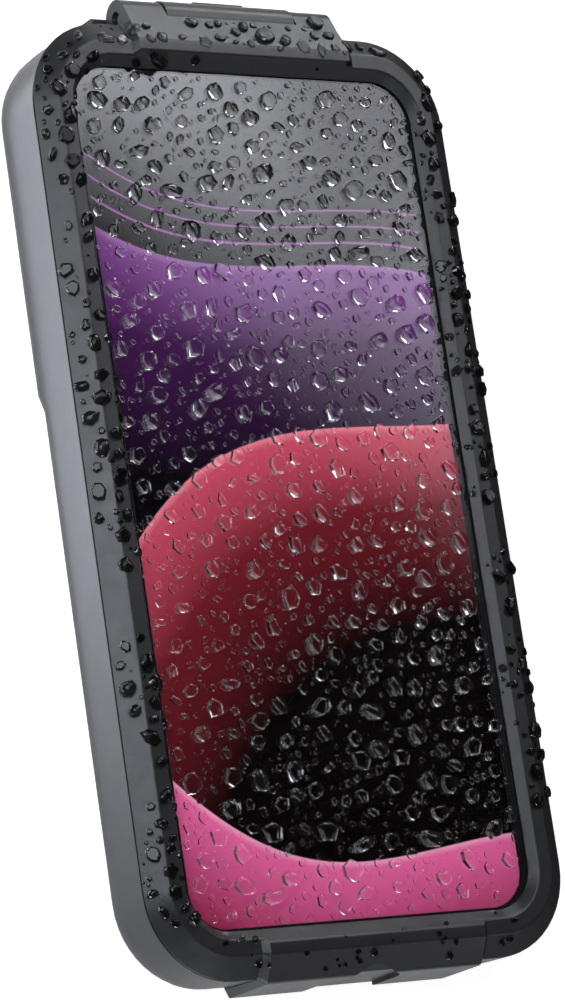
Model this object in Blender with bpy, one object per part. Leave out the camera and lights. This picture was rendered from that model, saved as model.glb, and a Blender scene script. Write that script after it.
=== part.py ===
"""Universal phone case: a hinged window frame that closes over a deep rear tub, lying on its back.

Units are metres. +Z points out of the window, +Y toward the hinge and +X to the right.
The pieces are built round the middle of the frame's outline. At the end they all move to bring the middle of
the whole case, hinge and tab included, to X = Y = 0. The back rests on Z = 0.
"""

import math

import bmesh
import bpy
from mathutils import Vector

MM = 0.001

# Clearances
gap = 0.3 * MM  # between two pieces that touch or run on each other
bed = 0.4 * MM  # how far a joined lump sinks into the piece it grows from
overshoot = 1.0 * MM  # how far a cutter runs past what it cuts

# Closed outline, shared by the frame and the rear tub
case_half_width = 45.2 * MM
case_half_length = 88.3 * MM
case_corner = 16.4 * MM
hinge_end_setback = 0.7 * MM  # the tub's hinge end stops this much short of the frame
face_z = 17.2 * MM  # flat face of the frame, above the deep back

# Front frame
outer_chamfer_width = 4.0 * MM
outer_chamfer_depth = 2.87 * MM
face_width = 2.9 * MM
side_band = 8.05 * MM  # from the outside to the clear opening
end_band = 8.6 * MM
window_corner = 8.2 * MM
window_land = 0.2 * MM  # upright strip at the foot of the inner chamfer
window_lip_depth = 1.95 * MM  # face down to the ledge over the touch window
gasket_lip = 1.25 * MM  # ledge left between the opening and the gasket's step
gasket_step_depth = 0.95 * MM
rebate_width = 3.65 * MM  # opening out to the wall round the touch window

# Raised lands at both ends of the frame
land_rise = 0.95 * MM
land_half_width = 23.2 * MM  # on top
land_facet = 1.3 * MM  # slanting end
hinge_land_setback = 3.8 * MM  # from the end to where the land's top breaks into the slope
latch_land_setback = 3.75 * MM

# Closing tab at the bottom end
tab_shoulder_out = 1.1 * MM  # beyond the frame's end
tab_shoulder_drop = 1.85 * MM
tab_tip_out = 1.7 * MM
tab_tip_z = 2.4 * MM
tab_inset = 0.7 * MM  # the tab's inner face, inside the frame's end
catch_depth = 0.4 * MM
catch_z = 5.7 * MM
catch_height = 1.4 * MM
catch_half_width = 6.0 * MM

# Thumb scoop in the tab
scoop_half_width = 7.7 * MM
scoop_crown_drop = 0.8 * MM
scoop_arch_height = 7.9 * MM
scoop_ledge_depth = 2.8 * MM  # tab shoulder in to the deepest line
scoop_skin = 1.0 * MM  # left between the floor and the tab's inner face
scoop_tip_depth = 0.7 * MM

# Hinge
hinge_gap = 0.35 * MM  # running clearance round the knuckles
hinge_reach = 2.5 * MM  # axis beyond the frame's end
hinge_drop = 6.2 * MM  # axis below the frame's face
knuckle_radius = 3.5 * MM
knuckle_setback = 0.1 * MM  # knuckle ends inside the land's top
middle_knuckle_radius = 3.8 * MM
middle_knuckle_half = 14.1 * MM
pin_radius = 1.0 * MM
pin_recess = 0.8 * MM
pin_chamfer = 0.2 * MM
arm_step = 0.45 * MM  # the arm drops this far beyond the frame's end
arm_drop = 1.8 * MM  # how far the arm reaches below the frame's underside
stop_rib_half = 5.5 * MM
stop_rib_rise = 0.6 * MM
stop_rib_thickness = 0.7 * MM
fairing_side = 2.7 * MM  # beyond the knuckles
fairing_reach = 3.9 * MM
fairing_clearance = 0.5 * MM
fairing_foot_z = 0.8 * MM

# Rear tub
tub_wall = 2.2 * MM
tub_floor = 1.6 * MM
tub_draft = 0.35 * MM
crease_z = 6.1 * MM
back_radius = 2.6 * MM
back_step = 1.9 * MM  # the plain back lies this much above the deep camera section
deep_length = 67.2 * MM  # from the frame's hinge end to the foot of the ramp
ramp_length = 3.6 * MM
rim_width = 3.6 * MM
rim_depth = 2.5 * MM
end_wall = 4.5 * MM
tab_room = 0.7 * MM  # between the tab and its recess
tab_recess_side = 0.4 * MM
catch_groove_depth = 0.7 * MM

# Seal in the tub's rim
seal_inset = 1.8 * MM  # from the outside to the seal's centre line
seal_end_inset = 2.9 * MM
seal_wall = 0.8 * MM
seal_width = 1.2 * MM
seal_depth = 0.9 * MM

# Touch window and what holds it
window_thickness = 0.8 * MM
gasket_width = 1.8 * MM
retainer_side_room = 0.6 * MM  # from the tub's rim
retainer_swing_room = 0.9 * MM  # from the tub's end wall, for the swing of the frame
retainer_width = 2.4 * MM
retainer_end_width = 1.8 * MM
retainer_thickness = 1.0 * MM
card_thickness = 0.3 * MM

# Camera window in the deep section
camera_setback = 30.3 * MM  # middle, from the frame's hinge end
camera_half_width = 31.3 * MM
camera_half_length = 21.3 * MM
camera_corner = 6.0 * MM
camera_thickness = 1.0 * MM
camera_ledge = 3.0 * MM  # how far the ledge reaches in under the window's edge
camera_ledge_thickness = 0.9 * MM
camera_gasket_thickness = 0.5 * MM
camera_gasket_width = 2.0 * MM
camera_collar_wall = 1.2 * MM

# Twist-lock socket on the back and its screws
socket_y = -25.0 * MM
socket_radius = 19.0 * MM
socket_chamfer = 0.5 * MM
socket_bore = 6.5 * MM
socket_wing_reach = 9.5 * MM
socket_wing_half = 2.5 * MM
screw_circle = 14.5 * MM
screw_radius = 1.0 * MM
screw_head_radius = 1.9 * MM
screw_length = 3.5 * MM
screw_drive_radius = 0.8 * MM
screw_drive_depth = 0.5 * MM
boss_radius = 2.8 * MM
boss_cap = 0.5 * MM

# Foam
pad_thickness = 1.0 * MM
back_pad_side_room = 5.0 * MM
back_pad_end_room = 5.8 * MM
back_pad_ramp_room = 3.5 * MM
back_pad_corner = 6.0 * MM
side_pad_thickness = 2.4 * MM
side_pad_half_length = 55.0 * MM
side_pad_height = 4.4 * MM
end_pad_thickness = 1.0 * MM
end_pad_half_length = 22.0 * MM
end_pad_height = 5.5 * MM
end_pad_drop = 1.2 * MM  # from the rim's underside

# Edge rounding and mesh fineness
edge_round = 0.35 * MM
corner_steps = 12
round_steps = 3
barrel_sides = 48
screw_sides = 24

# Places worked out from the above
window_half_width = case_half_width - side_band
window_half_length = case_half_length - end_band
hinge_land_edge = case_half_length - hinge_land_setback
latch_land_edge = case_half_length - latch_land_setback
tab_shoulder_y = case_half_length + tab_shoulder_out
tab_shoulder_z = face_z - tab_shoulder_drop
tab_tip_y = case_half_length + tab_tip_out
tab_inner_y = case_half_length - tab_inset
tab_recess_y = tab_inner_y - tab_room
scoop_crown_z = face_z - scoop_crown_drop
scoop_spring_z = scoop_crown_z - scoop_arch_height
scoop_floor_y = tab_inner_y + scoop_skin
hinge_y = case_half_length + hinge_reach
hinge_z = face_z - hinge_drop
knuckle_end = land_half_width - knuckle_setback
arm_inner_y = case_half_length + arm_step
fairing_half_width = knuckle_end + fairing_side
fairing_y = case_half_length + fairing_reach
fairing_top_z = hinge_z - knuckle_radius - fairing_clearance
ramp_high_y = case_half_length - deep_length
ramp_low_y = ramp_high_y - ramp_length
cavity_half_length = case_half_length - end_wall
seal_half_width = case_half_width - seal_inset
seal_half_length = case_half_length - seal_end_inset
seal_corner = case_corner - seal_inset
rim_corner = seal_corner - seal_width / 2 - gap - seal_wall
retainer_half_width = case_half_width - rim_width - retainer_side_room
retainer_half_length = cavity_half_length - retainer_swing_room
retainer_corner = rim_corner - retainer_swing_room
camera_y = case_half_length - camera_setback
back_pad_half_width = case_half_width - tub_wall - back_pad_side_room
back_pad_start_y = back_pad_end_room - cavity_half_length
back_pad_end_y = ramp_low_y - back_pad_ramp_room
underside_z = face_z - outer_chamfer_depth
rim_z = underside_z - gap
ledge_z = face_z - window_lip_depth
window_top_z = ledge_z - gap
window_bottom_z = window_top_z - window_thickness
retainer_top_z = window_bottom_z - gap
retainer_bottom_z = retainer_top_z - retainer_thickness
back_z = back_step
floor_z = back_z + tub_floor
pad_z = floor_z + gap
face_inset = outer_chamfer_width + face_width
rebate_half_width = window_half_width + rebate_width
rebate_half_length = window_half_length + rebate_width
rebate_corner = window_corner + rebate_width
boss_top_z = pad_z + pad_thickness - gap
socket_thickness = back_step - gap


def start_scene():
    """Clears the scene and makes the two collections."""
    for old in list(bpy.data.objects):
        bpy.data.objects.remove(old)
    made = bpy.data.collections.new("universal_phone_case")
    helpers = bpy.data.collections.new("cutters")
    bpy.context.scene.collection.children.link(made)
    bpy.context.scene.collection.children.link(helpers)
    helpers.hide_render = True
    return made, helpers


def material(name, colour, roughness, metallic=0.0, alpha=1.0):
    """A Principled material."""
    made = bpy.data.materials.new(name)
    made.use_nodes = True
    made.diffuse_color = (*colour, alpha)
    shader = made.node_tree.nodes["Principled BSDF"]
    shader.inputs["Base Color"].default_value = (*colour, 1.0)
    shader.inputs["Roughness"].default_value = roughness
    shader.inputs["Metallic"].default_value = metallic
    shader.inputs["Alpha"].default_value = alpha
    return made


def outline(half_x, half_y, corner, z, centre=(0.0, 0.0), stations=()):
    """Points of a rounded rectangle at height z, anticlockwise from the right side.

    Each station adds a point at that Y on both long sides.
    """
    points = []
    for turn, (side_x, side_y) in enumerate(((1, 1), (-1, 1), (-1, -1), (1, -1))):
        arc_x = centre[0] + side_x * (half_x - corner)
        arc_y = centre[1] + side_y * (half_y - corner)
        for step in range(corner_steps + 1):
            angle = math.radians(90.0 * (turn + step / corner_steps))
            points.append(Vector((arc_x + corner * math.cos(angle), arc_y + corner * math.sin(angle), z)))
        if turn == 1:
            points += [Vector((centre[0] - half_x, y, z)) for y in sorted(stations, reverse=True)]
        if turn == 3:
            points += [Vector((centre[0] + half_x, y, z)) for y in sorted(stations)]
    return points


def circle(radius, z, sides):
    """Points of a circle round the Z axis."""
    angles = [2.0 * math.pi * side / sides for side in range(sides)]
    return [Vector((radius * math.cos(angle), radius * math.sin(angle), z)) for angle in angles]


def rounded(loops, reaches, closed=True):
    """Replaces each loop whose reach isn't 0 by a few that round its edge off."""
    made = []
    for index, (loop, reach) in enumerate(zip(loops, reaches)):
        if not reach or (not closed and index in (0, len(loops) - 1)):
            made.append(loop)
            continue
        before = loops[index - 1]
        after = loops[(index + 1) % len(loops)]
        back = min(0.49, reach / (before[0] - loop[0]).length)
        forward = min(0.49, reach / (after[0] - loop[0]).length)
        for step in range(round_steps + 1):
            share = step / round_steps
            blended = []
            for one, two, three in zip(before, loop, after):
                start = two.lerp(one, back)
                end = two.lerp(three, forward)
                blended.append(start.lerp(two, share).lerp(two.lerp(end, share), share))
            made.append(blended)
    return made


def solid(name, loops, closed=False, caps=None):
    """An object whose skin runs from loop to loop. It is capped at both ends, or closed into a ring."""
    mesh = bpy.data.meshes.new(name)
    shape = bmesh.new()
    rows = [[shape.verts.new(point) for point in loop] for loop in loops]
    count = len(rows[0])
    pairs = list(zip(rows, rows[1:]))
    if closed:
        pairs.append((rows[-1], rows[0]))
    for lower, upper in pairs:
        for side in range(count):
            after = (side + 1) % count
            shape.faces.new((lower[side], lower[after], upper[after], upper[side]))
    if not closed:
        for row in (rows[0], rows[-1]):
            for cap in caps or [range(count)]:
                shape.faces.new([row[index] for index in cap])
    bmesh.ops.recalc_face_normals(shape, faces=shape.faces)
    shape.to_mesh(mesh)
    shape.free()
    mesh.shade_smooth()
    mesh.set_sharp_from_angle(angle=math.radians(30))
    return bpy.data.objects.new(name, mesh)


def along_x(name, stations):
    """A solid skinned through (x, section) stations. A section lists (y, z) points."""
    return solid(name, [[Vector((x, y, z)) for y, z in section] for x, section in stations])


def bar(name, section, half_length):
    """A straight bar along X with a (y, z) section."""
    return along_x(name, [(-half_length, section), (half_length, section)])


def block(name, low, high):
    """A box between two corners."""
    section = [(low[1], low[2]), (high[1], low[2]), (high[1], high[2]), (low[1], high[2])]
    return along_x(name, [(low[0], section), (high[0], section)])


def rod(name, radius, x_start, x_end):
    """A round rod along the hinge's axis."""
    ring = [(hinge_y + point.x, hinge_z + point.y) for point in circle(radius, 0.0, barrel_sides)]
    return along_x(name, [(x_start, ring), (x_end, ring)])


def eased(section, reaches):
    """A (y, z) section with its corners rounded."""
    loops = [[Vector((y, z, 0.0))] for y, z in section]
    return [(loop[0].x, loop[0].y) for loop in rounded(loops, reaches)]


def use(target, tool, operation):
    """Joins, cuts or intersects the target with a helper object."""
    cutters.objects.link(tool)
    tool.hide_render = True
    tool.display_type = "WIRE"
    change = target.modifiers.new(tool.name, "BOOLEAN")
    change.operation = operation
    change.solver = "EXACT"
    change.object = tool


def keep(obj, finish, parent=None):
    """Puts a finished piece in the case's collection with its material."""
    case.objects.link(obj)
    obj.data.materials.append(finish)
    if parent:
        obj.parent = parent
        obj.matrix_parent_inverse = parent.matrix_world.inverted()
    return obj


def on_back(loop):
    """Drops the points of a loop that lie over the deep section or its ramp."""
    for point in loop:
        share = (point.y - ramp_low_y) / (ramp_high_y - ramp_low_y)
        point.z -= back_step * min(1.0, max(0.0, share))
    return loop


def slope_height(y):
    """Height of the hinge land's slope, a plane from the land's edge that touches the barrel."""
    return hinge_z + (knuckle_radius - (y - hinge_y) * math.sin(slope_angle)) / math.cos(slope_angle)


def angle_of_slope():
    """Tilt of the plane from the land's edge to the barrel."""
    across = hinge_y - hinge_land_edge
    up = face_z + land_rise - hinge_z
    return math.acos(knuckle_radius / math.hypot(across, up)) - math.atan2(across, up)


def inner_chamfer_point(height):
    """(y, z) on the frame's inner chamfer at the ends, which the lands carry on upward."""
    edge_y = case_half_length - face_inset
    foot_z = ledge_z + window_land
    share = (height - foot_z) / (face_z - foot_z)
    return window_half_length + share * (edge_y - window_half_length), height


def land_roots():
    """(y, z) points that a land's section keeps inside the frame, clear of the window's rebate."""
    high_z = face_z - 2 * bed
    side_y = window_half_length + rebate_width + bed
    return inner_chamfer_point(high_z), (side_y, high_z), (side_y, underside_z)


def frame_ring():
    """The frame's plain section, turned round the window."""
    def inset(amount, z):
        return outline(case_half_width - amount, case_half_length - amount, case_corner - amount, z)

    def round_window(amount, z):
        return outline(window_half_width + amount, window_half_length + amount, window_corner + amount, z)

    step_z = ledge_z + gasket_step_depth
    profile = [
        (inset(0.0, underside_z), edge_round / 2),
        (inset(outer_chamfer_width, face_z), edge_round),
        (inset(face_inset, face_z), edge_round),
        (round_window(0.0, ledge_z + window_land), 0.0),
        (round_window(0.0, ledge_z), 0.0),
        (round_window(gasket_lip, ledge_z), 0.0),
        (round_window(gasket_lip, step_z), 0.0),
        (round_window(rebate_width, step_z), 0.0),
        (round_window(rebate_width, underside_z), 0.0),
    ]
    loops = rounded([loop for loop, _ in profile], [reach for _, reach in profile])
    return solid("front_frame", loops, closed=True)


def hinge_land():
    """The raised land at the hinge end, with slanting ends."""
    top = face_z + land_rise
    outer = arm_inner_y
    start, over_rebate, beside_rebate = land_roots()
    full = [start, inner_chamfer_point(top), (hinge_land_edge, top), (outer, slope_height(outer))]
    full += [(outer, underside_z), beside_rebate, over_rebate]
    foot = [start, (case_half_length - face_inset + bed, face_z - bed / 4)]
    foot += [(hinge_land_edge - bed, face_z - bed / 4), (case_half_length - bed / 2, underside_z + bed / 2)]
    foot += [(case_half_length - bed / 2, underside_z), beside_rebate, over_rebate]
    reaches = [0.0, edge_round, 1.6 * edge_round, 0.0, 0.0, 0.0, 0.0]
    return facetted("hinge_land", eased(full, reaches), eased(foot, reaches))


def facetted(name, full, foot):
    """A land whose section shrinks to its foot over the end facets."""
    end = land_half_width + land_facet
    return along_x(name, [(-end, foot), (-land_half_width, full), (land_half_width, full), (end, foot)])


def latch_land():
    """The raised land at the bottom end, carried on over the edge as the closing tab."""
    top = face_z + land_rise
    start, over_rebate, beside_rebate = land_roots()
    full = [start, inner_chamfer_point(top), (latch_land_edge, top), (tab_shoulder_y, tab_shoulder_z)]
    full += [(tab_tip_y, tab_tip_z), (tab_inner_y, tab_tip_z), (tab_inner_y, underside_z)]
    full += [beside_rebate, over_rebate]
    foot = [start, (case_half_length - face_inset + bed, face_z - bed / 4)]
    foot += [(latch_land_edge - bed, face_z - bed / 4), (case_half_length, underside_z + bed / 2)]
    foot += [(case_half_length + bed / 2, tab_tip_z + land_rise), (tab_inner_y, tab_tip_z + land_rise)]
    foot += [(tab_inner_y, underside_z), beside_rebate, over_rebate]
    reaches = [0.0, edge_round, edge_round, 2 * edge_round, edge_round, edge_round, 0.0, 0.0, 0.0]
    full = [(-y, z) for y, z in eased(full, reaches)]
    foot = [(-y, z) for y, z in eased(foot, reaches)]
    return facetted("latch_land", full, foot)


def catch_bead():
    """The small bead inside the tab that faces the groove in the tub's end wall."""
    inner = tab_inner_y - catch_depth
    low = catch_z - catch_height / 2
    high = catch_z + catch_height / 2
    section = [(-tab_inner_y - bed, low), (-tab_inner_y, low), (-inner, catch_z), (-tab_inner_y, high)]
    section += [(-tab_inner_y - bed, high)]
    return bar("catch_bead", section, catch_half_width)


def scoop():
    """The thumb scoop: an arch seen from the end, with a floor that runs out toward the back."""
    deep = tab_shoulder_y - scoop_ledge_depth
    far = tab_tip_y + overshoot
    tip = tab_tip_y - scoop_tip_depth
    top = face_z + land_rise + overshoot
    floor = [(-far, -overshoot), (-tip, -overshoot), (-tip, tab_tip_z), (-scoop_floor_y, underside_z)]
    floor += [(-deep, scoop_crown_z), (-deep, top), (-far, top)]
    made = bar("thumb_scoop", floor, scoop_half_width + overshoot)
    arch = [(scoop_half_width, -2 * overshoot)]
    for step in range(corner_steps * 2 + 1):
        angle = math.pi * step / (corner_steps * 2)
        rise = (scoop_crown_z - scoop_spring_z) * math.sin(angle) ** 0.8
        arch.append((scoop_half_width * math.cos(angle), scoop_spring_z + rise))
    arch.append((-scoop_half_width, -2 * overshoot))
    ends = [[Vector((x, y, z)) for x, z in arch] for y in (-far - overshoot, -deep + overshoot)]
    use(made, solid("scoop_arch", ends), "INTERSECT")
    return made


def hinge_arm():
    """The arm that carries the frame's knuckles. The slot for the middle knuckle is cut from it later."""
    touch = (hinge_y + knuckle_radius * math.sin(slope_angle), hinge_z + knuckle_radius * math.cos(slope_angle))
    root = case_half_length - hinge_land_setback / 2
    section = [(root, underside_z + bed), (arm_inner_y - bed, underside_z + bed), (arm_inner_y - bed, underside_z)]
    section += [(arm_inner_y, underside_z), (arm_inner_y, underside_z - arm_drop), (hinge_y, hinge_z), touch]
    section += [(root, slope_height(root))]
    return bar("hinge_arm", section, knuckle_end)


def front_frame(finish, pivot):
    """The lid's frame, moulded in one with its lands, tab and two outer knuckles."""
    frame = frame_ring()
    use(frame, hinge_land(), "UNION")
    use(frame, latch_land(), "UNION")
    use(frame, catch_bead(), "UNION")
    use(frame, hinge_arm(), "UNION")
    use(frame, rod("frame_barrel", knuckle_radius, -knuckle_end, knuckle_end), "UNION")
    slot_radius = middle_knuckle_radius + hinge_gap
    slot_half = middle_knuckle_half + gap
    use(frame, rod("frame_slot", slot_radius, -slot_half, slot_half), "DIFFERENCE")
    use(frame, rod("frame_bore", pin_radius + gap, -knuckle_end - overshoot, knuckle_end + overshoot), "DIFFERENCE")
    use(frame, scoop(), "DIFFERENCE")
    return keep(frame, finish, pivot)


def tub_skin():
    """The tub's walls, rim, seal groove and stepped floor as one skin, from the back round to the floor."""
    stations = (ramp_low_y, ramp_high_y)
    middle = (0.0, -hinge_end_setback / 2)
    half_length = case_half_length - hinge_end_setback / 2

    def outer(inset, z):
        return outline(case_half_width - inset, half_length - inset, case_corner - inset, z, middle, stations)

    def seal(offset, z):
        size = (seal_half_width + offset, seal_half_length + offset, seal_corner + offset)
        return outline(*size, z, stations=stations)

    def inner(width, z, shrink=0.0):
        corner = rim_corner + rim_width - width
        half_x = case_half_width - width - shrink
        return outline(half_x, cavity_half_length - shrink, corner - shrink, z, stations=stations)

    groove_half = seal_width / 2 + gap
    groove_z = rim_z - seal_depth - gap
    lip_z = rim_z - rim_depth
    profile = [
        (on_back(outer(tub_draft + 2 * back_radius, back_z)), 0.0),
        (on_back(outer(tub_draft, back_z)), back_radius),
        (outer(0.0, crease_z), 0.0),
        (outer(0.0, rim_z), edge_round / 2),
        (seal(groove_half, rim_z), 0.0),
        (seal(groove_half, groove_z), 0.0),
        (seal(-groove_half, groove_z), 0.0),
        (seal(-groove_half, rim_z), 0.0),
        (inner(rim_width, rim_z), 0.0),
        (inner(rim_width, lip_z), 0.0),
        (inner(tub_wall, lip_z - rim_width + tub_wall), 0.0),
        (on_back(inner(tub_wall, floor_z)), 2 * edge_round),
        (on_back(inner(tub_wall, floor_z, 4 * edge_round)), 0.0),
    ]
    loops = rounded([loop for loop, _ in profile], [reach for _, reach in profile], closed=False)
    half = 2 * (corner_steps + 1)
    count = len(loops[0])
    deep = [count - 1] + list(range(half + 1))
    ramp = [half, half + 1, count - 2, count - 1]
    plain = list(range(half + 1, count - 1))
    return solid("rear_shell", loops, caps=[deep, ramp, plain])


def hinge_fairing():
    """The ledge behind the barrel."""
    section = [(cavity_half_length + bed, fairing_foot_z), (fairing_y, fairing_foot_z), (fairing_y, fairing_top_z)]
    section += [(cavity_half_length + bed, fairing_top_z)]
    reaches = [0.0, back_radius, edge_round, 0.0]
    return bar("hinge_fairing", eased(section, reaches), fairing_half_width)


def middle_knuckle(shell):
    """The tub's own knuckle with its web and the rib that stops the frame when it is open."""
    root = cavity_half_length + bed
    shoulder = case_half_length - hinge_end_setback - bed
    below_seal = rim_z - seal_depth - 2 * gap
    web = [(root, fairing_top_z - bed), (hinge_y, fairing_top_z - bed), (hinge_y, rim_z)]
    web += [(shoulder, rim_z), (shoulder, below_seal), (root, below_seal)]
    use(shell, bar("knuckle_web", web, middle_knuckle_half), "UNION")
    use(shell, rod("knuckle_barrel", middle_knuckle_radius, -middle_knuckle_half, middle_knuckle_half), "UNION")
    tip = hinge_y + middle_knuckle_radius + stop_rib_rise
    root = hinge_y + middle_knuckle_radius - 2 * bed
    rib = [(root, hinge_z - stop_rib_thickness), (tip, hinge_z - stop_rib_thickness), (tip, hinge_z), (root, hinge_z)]
    use(shell, bar("stop_rib", rib, stop_rib_half), "UNION")


def camera_opening(shell):
    """The collar, rebate and clear hole for the camera window in the deep floor."""
    def at_camera(size, z):
        return outline(camera_half_width + size, camera_half_length + size, camera_corner + size, z, (0.0, camera_y))

    ledge = camera_ledge_thickness
    collar_top = ledge + camera_gasket_thickness + camera_thickness + 3 * gap
    outside = gap + camera_collar_wall
    use(shell, solid("camera_collar", [at_camera(outside, ledge), at_camera(outside, collar_top)]), "UNION")
    use(shell, solid("camera_rebate", [at_camera(gap, ledge), at_camera(gap, collar_top + overshoot)]), "DIFFERENCE")
    flare = overshoot - camera_ledge
    hole = [at_camera(flare, -overshoot), at_camera(-camera_ledge, ledge), at_camera(-camera_ledge, 2 * ledge)]
    use(shell, solid("camera_hole", hole), "DIFFERENCE")


def screw_places():
    """(x, y) of the four socket screws."""
    places = []
    for turn in range(4):
        angle = math.radians(45.0 + 90.0 * turn)
        places.append((screw_circle * math.cos(angle), socket_y + screw_circle * math.sin(angle)))
    return places


def turned(name, profile, place=(0.0, 0.0), sides=screw_sides):
    """A turned solid standing at a place. The profile lists (radius, z)."""
    made = solid(name, [circle(radius, z, sides) for radius, z in profile])
    made.location = (*place, 0.0)
    return made


def rear_shell(finish):
    """The moulded tub."""
    shell = tub_skin()
    use(shell, hinge_fairing(), "UNION")
    end = knuckle_end + gap
    use(shell, rod("knuckle_pocket", knuckle_radius + hinge_gap, -end, end), "DIFFERENCE")
    middle_knuckle(shell)
    camera_opening(shell)
    end = middle_knuckle_half + overshoot
    use(shell, rod("shell_bore", pin_radius + gap, -end, end), "DIFFERENCE")
    recess_half = land_half_width + land_facet + tab_recess_side
    low = (-recess_half, -case_half_length - overshoot, -overshoot)
    use(shell, block("tab_recess", low, (recess_half, -tab_recess_y, face_z)), "DIFFERENCE")
    groove_half = catch_half_width + 2 * gap
    low = (-groove_half, -case_half_length, catch_z - catch_height)
    high = (groove_half, -tab_recess_y + catch_groove_depth, catch_z + catch_height)
    use(shell, block("catch_groove", low, high), "DIFFERENCE")
    hole_top = screw_length + gap
    for number, place in enumerate(screw_places(), 1):
        boss = turned(f"boss_{number}", [(boss_radius, floor_z - bed), (boss_radius, boss_top_z)], place)
        use(shell, boss, "UNION")
        radius = screw_radius + gap
        hole = turned(f"boss_hole_{number}", [(radius, 0.0), (radius, hole_top)], place)
        use(shell, hole, "DIFFERENCE")
    return keep(shell, finish)


def ring(name, outer_size, inner_size, low, high, stations=()):
    """A flat ring between two rounded outlines."""
    loops = [outline(*outer_size, low), outline(*outer_size, high), outline(*inner_size, high), outline(*inner_size, low)]
    return solid(name, loops, closed=True)


def window_pieces(clear, rubber, plastic, print_finish, pivot):
    """The touch window, its gasket, the retainer behind it and the printed card."""
    size = (rebate_half_width - gap, rebate_half_length - gap, rebate_corner - gap)
    window = solid("touch_window", [outline(*size, window_bottom_z), outline(*size, window_top_z)])
    keep(window, clear, pivot)
    inner_size = tuple(amount - gasket_width for amount in size)
    gasket_top = ledge_z + gasket_step_depth - gap
    keep(ring("window_gasket", size, inner_size, window_top_z + gap, gasket_top), rubber, pivot)
    outer_size = (retainer_half_width, retainer_half_length, retainer_corner)
    hole = (retainer_half_width - retainer_width, retainer_half_length - retainer_end_width)
    hole += (retainer_corner - retainer_width,)
    keep(ring("window_retainer", outer_size, hole, retainer_bottom_z, retainer_top_z), plastic, pivot)
    card = tuple(amount - gap for amount in hole)
    card_low = retainer_top_z - card_thickness
    keep(solid("display_card", [outline(*card, card_low), outline(*card, retainer_top_z)]), print_finish, pivot)


def perimeter_seal(rubber):
    """The rubber ring in the tub's rim."""
    outer_size = tuple(size + seal_width / 2 for size in (seal_half_width, seal_half_length, seal_corner))
    inner_size = tuple(size - seal_width for size in outer_size)
    keep(ring("perimeter_seal", outer_size, inner_size, rim_z - seal_depth, rim_z), rubber)


def hinge_pin(steel):
    """The pin through the three knuckles, with both ends recessed."""
    end = knuckle_end - pin_recess
    rings = []
    for radius in (pin_radius - pin_chamfer, pin_radius):
        points = circle(radius, 0.0, screw_sides)
        rings.append([(hinge_y + point.x, hinge_z + point.y) for point in points])
    stations = [(-end, rings[0]), (-end + pin_chamfer, rings[1]), (end - pin_chamfer, rings[1]), (end, rings[0])]
    keep(along_x("hinge_pin", stations), steel)


def camera_pieces(clear, rubber):
    """The camera window and the gasket that it presses on."""
    def size(shrink):
        return camera_half_width - shrink, camera_half_length - shrink, camera_corner - shrink

    centre = (0.0, camera_y)
    low = camera_ledge_thickness + gap
    high = low + camera_gasket_thickness
    inner = size(camera_gasket_width)
    loops = [outline(*size(0.0), low, centre), outline(*size(0.0), high, centre)]
    loops += [outline(*inner, high, centre), outline(*inner, low, centre)]
    keep(solid("camera_gasket", loops, closed=True), rubber)
    low = high + gap
    plate = [outline(*size(0.0), low, centre), outline(*size(0.0), low + camera_thickness, centre)]
    keep(solid("camera_window", plate), clear)


def mount_socket(plastic):
    """The round twist-lock socket, with a two-winged keyhole and countersunk screw holes."""
    profile = [(socket_radius - socket_chamfer, 0.0), (socket_radius, socket_chamfer)]
    profile += [(socket_radius, socket_thickness)]
    socket = turned("mount_socket", profile, (0.0, socket_y), barrel_sides)
    bore = turned("socket_bore", [(socket_bore, -overshoot), (socket_bore, back_step)], (0.0, socket_y), barrel_sides)
    use(socket, bore, "DIFFERENCE")
    low = (-socket_wing_reach, socket_y - socket_wing_half, -overshoot)
    high = (socket_wing_reach, socket_y + socket_wing_half, back_step)
    use(socket, block("socket_wings", low, high), "DIFFERENCE")
    for number, place in enumerate(screw_places(), 1):
        head = screw_head_radius + gap
        shank = screw_radius + gap
        depth = head - shank
        profile = [(head, -overshoot), (head, gap), (shank, gap + depth), (shank, back_step)]
        use(socket, turned(f"screw_hole_{number}", profile, place), "DIFFERENCE")
    keep(socket, plastic)


def mount_screws(steel):
    """Four countersunk screws with hexagon sockets."""
    for number, place in enumerate(screw_places(), 1):
        depth = screw_head_radius - screw_radius
        profile = [(screw_head_radius, gap), (screw_radius, gap + depth), (screw_radius, screw_length - gap)]
        profile += [(screw_radius - gap, screw_length)]
        screw = turned(f"mount_screw_{number}", profile, place)
        drive_top = gap + screw_drive_depth
        drive = turned(f"drive_{number}", [(screw_drive_radius, -overshoot), (screw_drive_radius, drive_top)], place, 6)
        use(screw, drive, "DIFFERENCE")
        keep(screw, steel)


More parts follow.
